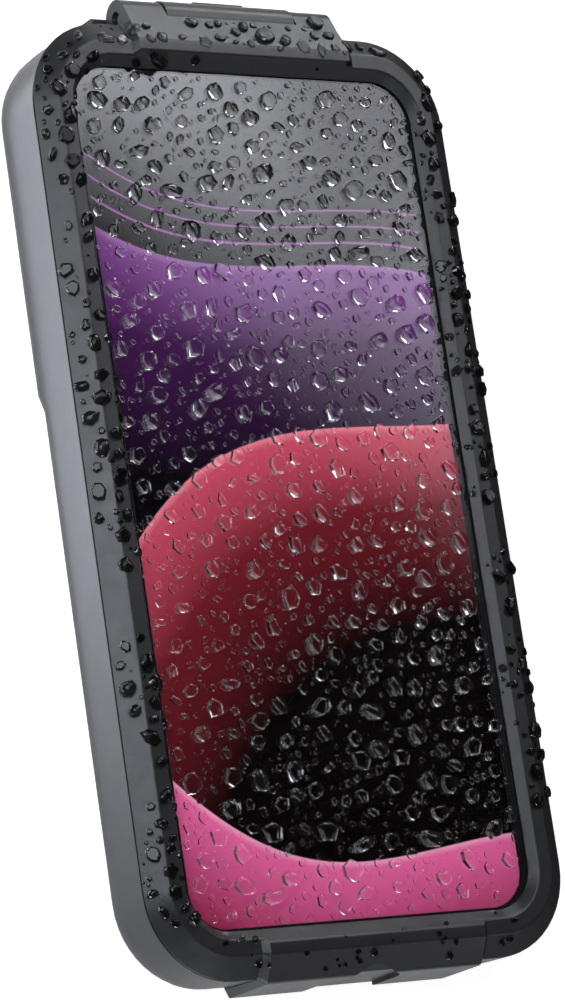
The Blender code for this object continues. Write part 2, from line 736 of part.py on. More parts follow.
def foam_pads(foam):
    """The foam behind the phone and round its edges."""
    middle = (back_pad_start_y + back_pad_end_y) / 2
    half = (back_pad_end_y - back_pad_start_y) / 2
    size = (back_pad_half_width, half, back_pad_corner)
    loops = [outline(*size, z, (0.0, middle)) for z in (pad_z, pad_z + pad_thickness)]
    back = solid("back_pad", loops)
    for number, place in enumerate(screw_places(), 1):
        radius = boss_radius + gap
        hole = turned(f"pad_hole_{number}", [(radius, floor_z), (radius, floor_z + 4 * pad_thickness)], place)
        use(back, hole, "DIFFERENCE")
    keep(back, foam)
    wall = case_half_width - tub_wall - gap
    low_z = pad_z + pad_thickness
    for name, side in (("side_pad_left", -1), ("side_pad_right", 1)):
        xs = sorted((side * wall, side * (wall - side_pad_thickness)))
        low = (xs[0], -side_pad_half_length, low_z)
        keep(block(name, low, (xs[1], side_pad_half_length, low_z + side_pad_height)), foam)
    wall = cavity_half_length - gap
    high_z = rim_z - rim_depth - end_pad_drop + gap
    for name, side in (("top_pad", 1), ("bottom_pad", -1)):
        ys = sorted((side * wall, side * (wall - end_pad_thickness)))
        low = (-end_pad_half_length, ys[0], high_z - end_pad_height)
        keep(block(name, low, (end_pad_half_length, ys[1], high_z)), foam)


case, cutters = start_scene()
slope_angle = angle_of_slope()

lid_pivot = bpy.data.objects.new("lid_pivot", None)
lid_pivot.location = (0.0, hinge_y, hinge_z)
case.objects.link(lid_pivot)
bpy.context.view_layer.update()

case_plastic = material("case_plastic", (0.035, 0.036, 0.040), 0.48)
inner_plastic = material("inner_plastic", (0.012, 0.012, 0.013), 0.5)
clear_plastic = material("clear_plastic", (0.80, 0.82, 0.84), 0.08, alpha=0.25)
seal_rubber = material("seal_rubber", (0.010, 0.010, 0.011), 0.7)
pin_steel = material("pin_steel", (0.50, 0.50, 0.52), 0.35, metallic=1.0)
pad_foam = material("pad_foam", (0.03, 0.03, 0.033), 0.95)
card_print = material("card_print", (0.35, 0.02, 0.08), 0.4)

front_frame(case_plastic, lid_pivot)
rear_shell(case_plastic)
window_pieces(clear_plastic, seal_rubber, inner_plastic, card_print, lid_pivot)
perimeter_seal(seal_rubber)
hinge_pin(pin_steel)
camera_pieces(clear_plastic, seal_rubber)
mount_socket(inner_plastic)
mount_screws(pin_steel)
foam_pads(pad_foam)

case_origin = bpy.data.objects.new("case_origin", None)
for piece in list(case.objects) + list(cutters.objects):
    if piece.parent is None:
        piece.parent = case_origin
case.objects.link(case_origin)
case_origin.location.y = (tab_tip_y - hinge_y - middle_knuckle_radius - stop_rib_rise) / 2
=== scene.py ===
import math
import random

import bpy
from mathutils import Matrix, Vector


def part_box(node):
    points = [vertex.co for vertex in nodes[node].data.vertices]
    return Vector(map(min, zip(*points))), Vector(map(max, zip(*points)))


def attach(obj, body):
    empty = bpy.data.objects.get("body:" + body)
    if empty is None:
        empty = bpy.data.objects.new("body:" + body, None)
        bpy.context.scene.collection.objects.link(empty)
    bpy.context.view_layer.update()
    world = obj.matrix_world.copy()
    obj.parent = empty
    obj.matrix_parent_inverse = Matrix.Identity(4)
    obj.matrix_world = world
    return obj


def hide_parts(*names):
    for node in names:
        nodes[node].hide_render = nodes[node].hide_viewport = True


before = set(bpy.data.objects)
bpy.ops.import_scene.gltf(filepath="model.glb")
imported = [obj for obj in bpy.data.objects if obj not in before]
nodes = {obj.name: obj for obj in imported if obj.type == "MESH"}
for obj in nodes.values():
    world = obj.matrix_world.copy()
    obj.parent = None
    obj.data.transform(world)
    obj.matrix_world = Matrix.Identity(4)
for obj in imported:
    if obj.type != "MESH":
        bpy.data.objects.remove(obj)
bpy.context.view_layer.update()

# Camera: a long lens to the front left of the case and high above it, with the case upright in a tall frame.
# The lens, the place and the axes come from the outlines of the frame and of the window in the photograph.
bpy.ops.object.select_all(action="DESELECT")
scene = bpy.context.scene
scene.view_settings.view_transform = "Standard"
camera_data = bpy.data.cameras.new("camera")
camera_data.lens = 142.0
camera_data.sensor_width = 36.0
camera_data.clip_start = 0.01
camera = bpy.data.objects.new("camera", camera_data)
scene.collection.objects.link(camera)
camera_place = Vector((-0.40032, -0.14941, 0.59498))
camera_right = Vector((0.8339, -0.1440, 0.5329)).normalized()
camera_back = Vector((-0.5519, -0.2018, 0.8091)).normalized()
camera_up = camera_back.cross(camera_right).normalized()
camera_axes = Matrix((camera_right, camera_up, camera_back)).transposed()
camera.matrix_world = Matrix.Translation(camera_place) @ camera_axes.to_4x4()
scene.camera = camera


# Rear shell: the tub that the phone lies in, injection moulded in black glass-filled nylon from one tool.
# Its outside is spark-eroded to a fine matt grain, and it carries the middle knuckle of the hinge.
def new_finish(name):
    """A material with an empty Principled shader, its node tree and that shader."""
    finish = bpy.data.materials.new(name)
    finish.use_nodes = True
    tree = finish.node_tree
    return finish, tree, tree.nodes["Principled BSDF"]


def add(tree, kind, settings=None, **inputs):
    """Adds one shader node, with its settings and the values of its sockets."""
    made = tree.nodes.new(kind)
    for key, value in (settings or {}).items():
        setattr(made, key, value)
    for key, value in inputs.items():
        made.inputs[key.replace("_", " ")].default_value = value
    return made


def speckle(tree, scale, detail=3.0, stretch=(1.0, 1.0, 1.0), roughness=0.5, distortion=0.0):
    """Noise on the piece's own coordinates, in waves per metre, drawn out along an axis by stretch."""
    where = add(tree, "ShaderNodeTexCoord")
    drawn = add(tree, "ShaderNodeMapping", Scale=stretch)
    grain = add(tree, "ShaderNodeTexNoise", Scale=scale, Detail=detail, Roughness=roughness, Distortion=distortion)
    tree.links.new(where.outputs["Object"], drawn.inputs["Vector"])
    tree.links.new(drawn.outputs["Vector"], grain.inputs["Vector"])
    return grain.outputs["Fac"]


def tones(tree, factor, stops):
    """A colour ramp from (place, (r, g, b)) stops."""
    ramp = add(tree, "ShaderNodeValToRGB")
    while len(ramp.color_ramp.elements) < len(stops):
        ramp.color_ramp.elements.new(0.5)
    for element, (place, colour) in zip(ramp.color_ramp.elements, stops):
        element.position = place
        element.color = (*colour, 1.0)
    tree.links.new(factor, ramp.inputs["Fac"])
    return ramp.outputs["Color"]


def spread(tree, factor, low, high, from_low=0.3, from_high=0.7, curve="LINEAR"):
    """Stretches a value, from_low to from_high, to run from low to high. Noise mostly lies in 0.3 to 0.7."""
    reach = {"From_Min": from_low, "From_Max": from_high, "To_Min": low, "To_Max": high}
    ranged = add(tree, "ShaderNodeMapRange", {"interpolation_type": curve}, **reach)
    tree.links.new(factor, ranged.inputs["Value"])
    return ranged.outputs["Result"]


def relief(tree, height, depth, strength=1.0, over=None):
    """A bump of the given depth in metres, over another bump if there is one."""
    bump = add(tree, "ShaderNodeBump", Strength=strength, Distance=depth)
    tree.links.new(height, bump.inputs["Height"])
    if over is not None:
        tree.links.new(over, bump.inputs["Normal"])
    return bump.outputs["Normal"]


def moulded_plastic(name, dark, pale, rough_low, rough_high, grain_depth):
    """Matt moulded plastic: eroded grain, flow mottling and patches that handling has smoothed."""
    finish, tree, shader = new_finish(name)
    flow = speckle(tree, 220.0, 5.0, roughness=0.7, distortion=0.5)
    grain = speckle(tree, 3800.0, 2.0)
    tree.links.new(tones(tree, flow, [(0.30, dark), (0.70, pale)]), shader.inputs["Base Color"])
    tree.links.new(spread(tree, speckle(tree, 320.0, 4.0), rough_low, rough_high), shader.inputs["Roughness"])
    wide = relief(tree, speckle(tree, 900.0, 2.0), grain_depth * 0.8, 0.5)
    tree.links.new(relief(tree, grain, grain_depth, 0.7, wide), shader.inputs["Normal"])
    return finish


weld_distance = 0.000002
coplanar_degrees = 0.6
crease_degrees = 32.0


def moulding(node, finish, body, edge=0.00012):
    """Stands in for a CAD solid: its triangles joined, its flats made whole and its corners smoothed."""
    bpy.ops.object.select_all(action="DESELECT")
    piece = bpy.data.objects.new(node + "_moulding", nodes[node].data.copy())
    scene.collection.objects.link(piece)
    piece.data.materials.clear()
    piece.data.materials.append(finish)
    bpy.context.view_layer.objects.active = piece
    piece.select_set(True)
    bpy.ops.object.mode_set(mode="EDIT")
    bpy.ops.mesh.select_mode(type="VERT")
    bpy.ops.mesh.select_all(action="SELECT")
    bpy.ops.mesh.remove_doubles(threshold=weld_distance)
    bpy.ops.mesh.dissolve_limited(angle_limit=math.radians(coplanar_degrees))
    bpy.ops.object.mode_set(mode="OBJECT")
    if piece.data.has_custom_normals:
        bpy.ops.mesh.customdata_custom_splitnormals_clear()
    rounded = piece.modifiers.new("edges", "BEVEL")
    rounded.width = edge
    rounded.segments = 2
    rounded.limit_method = "ANGLE"
    rounded.angle_limit = math.radians(crease_degrees)
    rounded.use_clamp_overlap = True
    bpy.ops.object.modifier_apply(modifier=rounded.name)
    bpy.ops.object.shade_smooth_by_angle(angle=math.radians(crease_degrees))
    flats = piece.modifiers.new("flats", "WEIGHTED_NORMAL")
    flats.keep_sharp = True
    bpy.ops.object.modifier_apply(modifier=flats.name)
    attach(piece, body)
    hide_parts(node)
    return piece


case_dark = (0.0122, 0.0125, 0.0142)
case_pale = (0.0142, 0.0145, 0.0163)
case_plastic = moulded_plastic(
    "case_plastic", case_dark, case_pale, rough_low=0.32, rough_high=0.38, grain_depth=0.00003
)
moulding("rear_shell", case_plastic, "case")


# Perimeter seal: a closed cord of black silicone rubber, pressed into the groove of the shell's rim.
# The frame closes on it. It keeps a slight bloom of talc and the flash line of its mould.
def moulded_rubber(name, dark, pale):
    """Black rubber with a dusty bloom and a soft, uneven skin."""
    finish, tree, shader = new_finish(name)
    bloom = speckle(tree, 260.0, 5.0, roughness=0.65)
    tree.links.new(tones(tree, bloom, [(0.35, dark), (0.68, pale)]), shader.inputs["Base Color"])
    tree.links.new(spread(tree, bloom, 0.58, 0.80), shader.inputs["Roughness"])
    tree.links.new(relief(tree, speckle(tree, 2200.0, 3.0), 0.00002, 0.6), shader.inputs["Normal"])
    return finish


def finish_node(node, finish):
    """Gives a CAD solid that is shown as it is its finish."""
    solid = nodes[node]
    if not solid.material_slots:
        solid.data.materials.append(finish)
    for place in solid.material_slots:
        place.material = finish


seal_rubber = moulded_rubber("seal_rubber", (0.010, 0.010, 0.011), (0.022, 0.022, 0.023))
finish_node("perimeter_seal", seal_rubber)


# Hinge pin: a ground steel rod that runs through the three knuckles and stops inside the outer two.
# Its surface keeps the fine rings of the grinding wheel.
def turned_steel(name, stretch):
    """Ground or turned steel, its fine lines running round the piece."""
    finish, tree, shader = new_finish(name)
    lines = speckle(tree, 900.0, 4.0, stretch)
    steel = tones(tree, lines, [(0.3, (0.38, 0.38, 0.40)), (0.7, (0.56, 0.56, 0.57))])
    tree.links.new(steel, shader.inputs["Base Color"])
    tree.links.new(spread(tree, lines, 0.22, 0.40), shader.inputs["Roughness"])
    tree.links.new(relief(tree, lines, 0.00001, 0.5), shader.inputs["Normal"])
    shader.inputs["Metallic"].default_value = 1.0
    shader.inputs["Anisotropic"].default_value = 0.5
    return finish


finish_node("hinge_pin", turned_steel("pin_steel", (6.0, 0.4, 0.4)))


# Foam pads: die-cut strips and a sheet of open-cell polyurethane that hold the phone clear of the walls.
# They are stuck to the shell's floor, walls and ends.
def blended(tree, mode, factor, under, over):
    """Lays one colour over another. Each of them is a socket or a plain value."""
    mixed = add(tree, "ShaderNodeMix", {"data_type": "RGBA", "blend_type": mode})
    for socket, value in ((mixed.inputs[0], factor), (mixed.inputs[6], under), (mixed.inputs[7], over)):
        if isinstance(value, (float, tuple)):
            socket.default_value = value
        else:
            tree.links.new(value, socket)
    return mixed.outputs[2]


def cell_foam(name):
    """Charcoal foam: open cells painted darker towards their pits as painted shade, paler thin ribs between them, and
    slow changes of tone.
    """
    finish, tree, shader = new_finish(name)
    where = add(tree, "ShaderNodeTexCoord")
    cells = add(tree, "ShaderNodeTexVoronoi", Scale=1900.0, Randomness=1.0)
    tree.links.new(where.outputs["Object"], cells.inputs["Vector"])
    # The cells' pits are painted darker than their ribs: painted shade in the pits of the foam.
    painted_pore_shade = tones(tree, cells.outputs["Distance"], [(0.0, (0.042, 0.042, 0.046)), (0.75, (0.110, 0.110, 0.117))])
    drift = tones(tree, speckle(tree, 70.0, 3.0), [(0.3, (0.80, 0.80, 0.80)), (0.7, (1.0, 1.0, 1.0))])
    tree.links.new(blended(tree, "MULTIPLY", 1.0, painted_pore_shade, drift), shader.inputs["Base Color"])
    tree.links.new(spread(tree, cells.outputs["Distance"], 0.85, 1.0, 0.0, 1.0), shader.inputs["Roughness"])
    tree.links.new(relief(tree, cells.outputs["Distance"], 0.00012, 0.8), shader.inputs["Normal"])
    return finish


pad_foam = cell_foam("pad_foam")
pad_edge = 0.00030
for pad_node in ("back_pad", "side_pad_left", "side_pad_right", "top_pad", "bottom_pad"):
    foam_pad = moulding(pad_node, pad_foam, "case", pad_edge)


# Camera window: a clear acrylic plate in the deeper part of the shell, for the camera to look through.
# It sits on a rubber ring on its ledge.
def lamps_pass(tree, shader, share):
    """Lets that share of lamplight straight through, so the shadow of a clear piece stays pale."""
    light = add(tree, "ShaderNodeBsdfTransparent", Color=(share, share, share, 1.0))
    ray = add(tree, "ShaderNodeLightPath")
    either = add(tree, "ShaderNodeMixShader")
    tree.links.new(ray.outputs["Is Shadow Ray"], either.inputs["Fac"])
    tree.links.new(shader.outputs["BSDF"], either.inputs[1])
    tree.links.new(light.outputs["BSDF"], either.inputs[2])
    tree.links.new(either.outputs["Shader"], tree.nodes["Material Output"].inputs["Surface"])


def clear_sheet(name, tint, rough_low, rough_high, ior):
    """Clear plastic sheet with faint smears."""
    finish, tree, shader = new_finish(name)
    shader.inputs["Base Color"].default_value = (*tint, 1.0)
    shader.inputs["Transmission Weight"].default_value = 1.0
    shader.inputs["IOR"].default_value = ior
    smears = speckle(tree, 45.0, 4.0, (1.0, 0.35, 1.0), 0.6, 1.2)
    tree.links.new(spread(tree, smears, rough_low, rough_high), shader.inputs["Roughness"])
    tree.links.new(relief(tree, speckle(tree, 60.0, 2.0), 0.00001, 0.25), shader.inputs["Normal"])
    lamps_pass(tree, shader, 0.93)
    return finish


clear_plastic = clear_sheet("clear_plastic", (0.97, 0.975, 0.98), rough_low=0.0, rough_high=0.03, ior=1.49)
finish_node("camera_window", clear_plastic)
finish_node("camera_gasket", seal_rubber)

# Mount socket and its screws: the round twist-lock ring on the back that a handlebar or car holder grips.
# It is moulded in a tougher black plastic and held by four countersunk screws.
inner_dark = (0.014, 0.014, 0.015)
inner_pale = (0.022, 0.022, 0.024)
inner_plastic = moulded_plastic(
    "inner_plastic", inner_dark, inner_pale, rough_low=0.36, rough_high=0.50, grain_depth=0.00002
)
moulding("mount_socket", inner_plastic, "case")
screw_steel = turned_steel("screw_steel", (0.5, 0.5, 4.0))
for screw_number in range(1, 5):
    finish_node(f"mount_screw_{screw_number}", screw_steel)

# Front frame: the hinged lid, moulded in the same plastic as the shell, with a chamfer outside and inside.
# It carries the outer knuckles, the raised lands at both ends and the closing tab with its thumb scoop.
front_frame = moulding("front_frame", case_plastic, "lid")

# Touch window, its gasket and its clamp ring: a clear hard-coated sheet that the finger works through.
# The gasket seals it to the frame's ledge, and the ring behind clamps it.
finish_node("touch_window", clear_plastic)
finish_node("window_gasket", seal_rubber)
moulding("window_retainer", inner_plastic, "lid")


# Display card: a stiff printed card behind the window that shows what the case looks like in use.
# Its face is a print of slow waves in violet, red and rose on black, with a dark border whose inner edge carries a
# thin pale line, a painted highlight of a screen's edge.
def reckon(tree, operation, *values):
    """A sum on sockets and plain numbers, in the order in which they are given."""
    made = add(tree, "ShaderNodeMath", {"operation": operation})
    for socket, value in zip(made.inputs, values):
        if isinstance(value, float):
            socket.default_value = value
        else:
            tree.links.new(value, socket)
    return made.outputs[0]


crisp_edge = 0.00025
thread_at_most = 0.001  # a wave no deeper than this is a thread, with a lower edge too


def wave(tree, place, level, tilt, height, length, phase, depth, stops):
    """One wave: a crisp curved crest that fades out below it over the given depth, in metres."""
    turned = add(tree, "ShaderNodeMapping", Rotation=(0.0, 0.0, math.radians(tilt)))
    axes = add(tree, "ShaderNodeSeparateXYZ")
    tree.links.new(place, turned.inputs["Vector"])
    tree.links.new(turned.outputs["Vector"], axes.inputs["Vector"])
    along = reckon(tree, "MULTIPLY_ADD", axes.outputs["X"], math.tau / length, phase)
    crest = reckon(tree, "MULTIPLY_ADD", reckon(tree, "SINE", along), height, level)
    below = reckon(tree, "SUBTRACT", crest, axes.outputs["Y"])
    covers = spread(tree, below, 0.0, 1.0, 0.0, crisp_edge)
    if depth < thread_at_most:
        ends = spread(tree, below, 1.0, 0.0, depth, depth + crisp_edge)
        covers = reckon(tree, "MULTIPLY", covers, ends)
    return covers, tones(tree, spread(tree, below, 0.0, 1.0, 0.0, depth), stops)


card_print, print_tree, print_shader = new_finish("card_print")
card_place = add(print_tree, "ShaderNodeTexCoord").outputs["Object"]
violet = [
    (0.0, (0.34, 0.15, 0.38)), (0.04, (0.19, 0.045, 0.23)), (0.40, (0.045, 0.006, 0.06)), (1.0, (0.001, 0.0, 0.002)),
]
thread = [(0.0, (0.34, 0.10, 0.36)), (1.0, (0.34, 0.10, 0.36))]
red = [
    (0.0, (0.85, 0.24, 0.30)), (0.04, (0.58, 0.070, 0.120)), (0.42, (0.15, 0.008, 0.015)), (1.0, (0.001, 0.0, 0.0)),
]
rose = [
    (0.0, (0.95, 0.42, 0.58)), (0.04, (0.85, 0.14, 0.36)), (0.55, (0.30, 0.014, 0.06)), (1.0, (0.002, 0.0, 0.001)),
]
picture = (0.001, 0.001, 0.001, 1.0)  # the black that the waves are laid on
for level, tilt, height, length, phase, depth, stops in (
    (0.0520, 24.0, 0.012, 0.150, 0.4, 0.0003, thread),
    (0.0485, 24.0, 0.012, 0.150, 0.4, 0.0003, thread),
    (0.0450, 24.0, 0.012, 0.150, 0.4, 0.0004, thread),
    (0.040, 24.0, 0.012, 0.150, 0.4, 0.044, violet),
    (-0.002, -28.0, 0.013, 0.160, 2.2, 0.042, red),
    (-0.060, 18.0, 0.010, 0.130, 4.3, 0.036, rose),
):
    covers, colour = wave(print_tree, card_place, level, tilt, height, length, phase, depth, stops)
    picture = blended(print_tree, "MIX", covers, picture, colour)
border_corner = 0.0070  # radius of the border's inner corners
print_axes = add(print_tree, "ShaderNodeSeparateXYZ")
past_corner = add(print_tree, "ShaderNodeCombineXYZ")
corner_reach = add(print_tree, "ShaderNodeVectorMath", {"operation": "LENGTH"})
print_tree.links.new(card_place, print_axes.inputs["Vector"])
for axis, middle, half in (("X", 0.0, 0.0358), ("Y", -0.0030, 0.0786)):
    off_middle = reckon(print_tree, "ABSOLUTE", reckon(print_tree, "SUBTRACT", print_axes.outputs[axis], middle))
    beyond = reckon(print_tree, "SUBTRACT", off_middle, half - border_corner)
    print_tree.links.new(reckon(print_tree, "MAXIMUM", beyond, 0.0), past_corner.inputs[axis])
print_tree.links.new(past_corner.outputs["Vector"], corner_reach.inputs[0])
border_reach = corner_reach.outputs["Value"]
in_border = spread(print_tree, border_reach, 0.0, 1.0, border_corner, border_corner + 0.0001)
border_fall = spread(print_tree, border_reach, 0.0, 1.0, border_corner, border_corner + 0.0008)
# The thin pale line at the border's inner edge is a painted highlight of a screen's edge; the rest of the border is
# dark print.
border_with_painted_highlight = [(0.0, (0.060, 0.060, 0.064)), (0.25, (0.006, 0.006, 0.007)), (1.0, (0.009, 0.009, 0.010))]
picture = blended(print_tree, "MIX", in_border, picture, tones(print_tree, border_fall, border_with_painted_highlight))
card_facing = add(print_tree, "ShaderNodeSeparateXYZ")
print_tree.links.new(add(print_tree, "ShaderNodeTexCoord").outputs["Normal"], card_facing.inputs["Vector"])
faces_out = spread(print_tree, card_facing.outputs["Z"], 0.0, 1.0, 0.4, 0.6)
fibres = speckle(print_tree, 700.0, 5.0, (1.0, 0.25, 1.0), 0.7)
plain_back = tones(print_tree, fibres, [(0.3, (0.050, 0.050, 0.052)), (0.7, (0.075, 0.075, 0.077))])
card_colour = blended(print_tree, "MIX", faces_out, plain_back, picture)
print_tree.links.new(card_colour, print_shader.inputs["Base Color"])
print_tree.links.new(relief(print_tree, fibres, 0.00001, 0.3), print_shader.inputs["Normal"])
print_shader.inputs["Roughness"].default_value = 0.45
print_shader.inputs["Specular IOR Level"].default_value = 0.05
finish_node("display_card", card_print)


# Water drops: rain that stands on the window and on the frame, flat on top and steep at an uneven rim.
# A few shapes are modelled once, and copies of them are turned, sized and set down one by one.
def standing_water(name, clearness, passes):
    """Water. Its clearness tints it grey, and below 1 that tint is painted shade that darkens the drop and what is
    seen through it; passes is the share of lamplight it lets through.
    """
    finish, tree, shader = new_finish(name)
    shader.inputs["Base Color"].default_value = (clearness, clearness, clearness, 1.0)
    shader.inputs["Transmission Weight"].default_value = 1.0
    shader.inputs["IOR"].default_value = 1.333
    shader.inputs["Roughness"].default_value = 0.0
    tree.links.new(relief(tree, speckle(tree, 160.0, 1.0), 0.00002, 0.05), shader.inputs["Normal"])
    lamps_pass(tree, shader, passes)
    return finish


drum_height = 0.42  # of the drum that a drop of unit size starts as
outline_low, outline_high = 0.74, 1.14  # how far the outline's corners reach
top_taper = 0.96  # the drum's top is this much narrower than its foot
top_ripple = 0.03
top_inset = 0.15  # each of the two rings that the top is drawn in by
shoulder_rise = 0.07
rim_crease = 0.30
top_or_foot = 0.7  # a face this level, up or down, is the drum's top or its foot
rim_degrees = 60.0


def drop_shape(number, corners, long, swell, rounds=1):
    """One drop of unit size: a low drum with an uneven outline, its top drawn in, then rounded all over."""
    bpy.ops.object.select_all(action="DESELECT")
    middle = drum_height / 2
    bpy.ops.mesh.primitive_cylinder_add(vertices=corners, radius=1.0, depth=drum_height, location=(0.0, 0.0, middle))
    shape = bpy.context.object
    shape.name = f"drop_shape_{number}"
    bpy.ops.object.transform_apply(location=True, rotation=False, scale=False)
    reaches = [chance.uniform(outline_low, outline_high) for _ in range(corners)]
    for vertex in shape.data.vertices:
        turn = math.atan2(vertex.co.y, vertex.co.x) / math.tau * corners
        reach = reaches[round(turn) % corners] * (top_taper if vertex.co.z > middle else 1.0)
        vertex.co.x *= reach
        vertex.co.y *= reach / long
        if vertex.co.z > middle:
            vertex.co.z += chance.uniform(-top_ripple, top_ripple)
    bpy.ops.object.mode_set(mode="EDIT")
    bpy.ops.mesh.select_mode(type="FACE")
    bpy.ops.mesh.select_all(action="DESELECT")
    bpy.ops.object.mode_set(mode="OBJECT")
    for face in shape.data.polygons:
        face.select = face.normal.z > top_or_foot
    bpy.ops.object.mode_set(mode="EDIT")
    bpy.ops.mesh.inset(thickness=top_inset)
    bpy.ops.transform.translate(value=(0.0, 0.0, shoulder_rise))
    bpy.ops.mesh.inset(thickness=top_inset)
    bpy.ops.transform.translate(value=(0.0, 0.0, swell))
    bpy.ops.mesh.select_all(action="INVERT")
    bpy.ops.transform.edge_crease(value=rim_crease)
    bpy.ops.object.mode_set(mode="OBJECT")
    for face in shape.data.polygons:
        face.select = face.normal.z < -top_or_foot
    bpy.ops.object.mode_set(mode="EDIT")
    bpy.ops.transform.edge_crease(value=1.0)
    bpy.ops.object.mode_set(mode="OBJECT")
    if rounds:
        round_off = shape.modifiers.new("round_off", "SUBSURF")
        round_off.levels = rounds
        round_off.render_levels = rounds
        bpy.ops.object.modifier_apply(modifier=round_off.name)
    bpy.ops.object.shade_smooth_by_angle(angle=math.radians(rim_degrees))
    return shape


chance = random.Random(41)
swells = (0.0, 0.05, 0.0, 0.09)
drop_shapes = [
    drop_shape(number, 5 + number % 4, 1.0 + 0.08 * (number % 5), swells[number % 4]) for number in range(14)
]
bead_shapes = [
    drop_shape(14 + number, 7 + number % 2, 1.0 + 0.1 * (number % 3), 0.02, rounds=0) for number in range(6)
]
bead_radius = 0.00085  # drops up to this radius are plain beads
foot_sunk = 0.00002
drops_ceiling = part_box("front_frame")[1].z + 0.0005  # no drop stands higher than this


def set_down(places, name, body, finish):
    """Puts a copy of a drop at each (point, normal, radius, height) and joins them into one piece."""
    bpy.ops.object.select_all(action="DESELECT")
    for point, normal, radius, height in places:
        shape = chance.choice(drop_shapes if radius > bead_radius else bead_shapes)
        drop = bpy.data.objects.new(name, shape.data.copy())
        scene.collection.objects.link(drop)
        turn = Matrix.Rotation(chance.uniform(0.0, math.tau), 4, "Z")
        size = Matrix.Diagonal((radius, radius * chance.uniform(0.8, 1.0), height, 1.0))
        lean = normal.to_track_quat("Z", "Y").to_matrix().to_4x4()
        sunk = point - normal * foot_sunk
        drop.data.transform(lean @ turn @ size)
        stands = sunk.z + max(vertex.co.z for vertex in drop.data.vertices)
        sunk.z -= max(0.0, stands - drops_ceiling)
        drop.data.transform(Matrix.Translation(sunk))
        drop.select_set(True)
        bpy.context.view_layer.objects.active = drop
    bpy.ops.object.join()
    joined = bpy.context.object
    joined.name = name
    joined.data.materials.append(finish)
    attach(joined, body)


# Drops on the window: nearly a thousand, most of them small, with fine specks between them.
# The large ones are set down first, and none touches another or the frame.
window_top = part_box("touch_window")[1].z
opening_half_width = 0.03715  # the frame's clear opening
opening_half_length = 0.0797
opening_middle_y = -0.0026
opening_corner = 0.0082
rim_room = 0.0003  # kept free between a drop and the opening's edge
drop_room = 0.0001  # kept free between two drops


def clear_of(taken, x, y, radius, room):
    """True where a drop of this radius keeps that much room to all of those already down."""
    return all(math.hypot(x - a, y - b) > radius + other + room for a, b, other in taken)


def on_window(x, y, radius):
    """True where the drop lies wholly inside the clear opening, round its corners too."""
    from_x = abs(x) + radius + rim_room
    from_y = abs(y - opening_middle_y) + radius + rim_room
    if from_x > opening_half_width or from_y > opening_half_length:
        return False
    corner_x = from_x - (opening_half_width - opening_corner)
    corner_y = from_y - (opening_half_length - opening_corner)
    return corner_x < 0.0 or corner_y < 0.0 or math.hypot(corner_x, corner_y) < opening_corner


window_drop_count = 960
speck_count = 480
least_drop, drop_range = 0.00056, 0.0019
least_speck, largest_speck = 0.00018, 0.00050
drop_sizes = [least_drop + drop_range * chance.random() ** 2.3 for _ in range(window_drop_count)]
drop_sizes += [chance.uniform(least_speck, largest_speck) for _ in range(speck_count)]
drop_sizes.sort(reverse=True)
window_drops = []
taken = []
for drop_radius in drop_sizes:
    for attempt in range(90):
        x = chance.uniform(-opening_half_width, opening_half_width)
        y = chance.uniform(-opening_half_length, opening_half_length) + opening_middle_y
        if on_window(x, y, drop_radius) and clear_of(taken, x, y, drop_radius, drop_room):
            taken.append((x, y, drop_radius))
            low_cap = drop_radius * chance.uniform(0.75, 1.0)
            window_drops.append((Vector((x, y, window_top)), Vector((0, 0, 1)), drop_radius, low_cap))
            break
water_on_window = standing_water("water_on_window", clearness=1.0, passes=0.90)
set_down(window_drops, "water_drops_window", "lid", water_on_window)

# Drops on the frame: they gather in clusters, thickest on the left face, and cling to edges and chamfers.
# Each is turned to the mean slope of the plastic under it and sunk by as much as its rim would gape.
frame_low, frame_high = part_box("front_frame")
hinge_end = 0.0815  # the hinge flange and the corners beside it lie past this Y
sheltered_from = 0.0765  # the ledge from this Y up to the flange is sheltered and stays nearly dry
sheltered_half_width = 0.036
sheltered_dry_share = 0.93
tab_end = -0.083  # the closing tab lies past this Y and carries few drops, all small
tab_dry_share = 0.7
tab_largest_drop = 0.0009
lowest_foothold = 0.0145  # below this Z the frame's outside is left dry
rail_inner_x, rail_inner_y = 0.036, 0.079  # drops gather outside this, on the frame's rails
gather_count, left_gather_count = 300, 22
gather_spread = 0.0022
gathers = [
    (chance.uniform(frame_low.x, frame_high.x), chance.uniform(frame_low.y, frame_high.y))
    for _ in range(gather_count)
]
gathers = [(x, y) for x, y in gathers if abs(x) > rail_inner_x or abs(y - opening_middle_y) > rail_inner_y]
gathers += [(chance.uniform(-0.0440, -0.0385), chance.uniform(-0.070, 0.080)) for _ in range(left_gather_count)]
frame_drop_count = 340
least_drop, drop_range = 0.00032, 0.00180
drop_sizes = sorted((least_drop + drop_range * chance.random() ** 1.7 for _ in range(frame_drop_count)), reverse=True)
drop_overlap = 0.0001
feel_at = 0.9  # share of the radius at which the plastic under a drop is felt for
feel_reach = 0.0012
gape_allowed = 0.6  # share of the radius
rise_low, rise_high = 1.1, 1.5  # height over radius
rise_over_gap, sink_over_gap = 0.6, 0.8
hinge_end_flattening = 0.70


def footing(spot, normal, radius):
    """Feels the plastic under a drop's rim: whether it is all there, its mean slope, and the widest gap."""
    lean = normal.to_track_quat("Z", "Y").to_matrix()
    facing = normal.copy()
    widest = 0.0
    all_there = True
    for step in range(8):
        around = Vector((math.cos(step * math.tau / 8), math.sin(step * math.tau / 8), 0.0))
        edge = spot + lean @ around * radius * feel_at
        start = edge + normal * feel_reach
        found, foot, foot_normal, _ = front_frame.ray_cast(start, -normal, distance=2 * feel_reach)
        all_there = all_there and found
        if found:
            facing += foot_normal
            widest = max(widest, (edge - foot).dot(normal))
    return all_there, facing.normalized(), widest


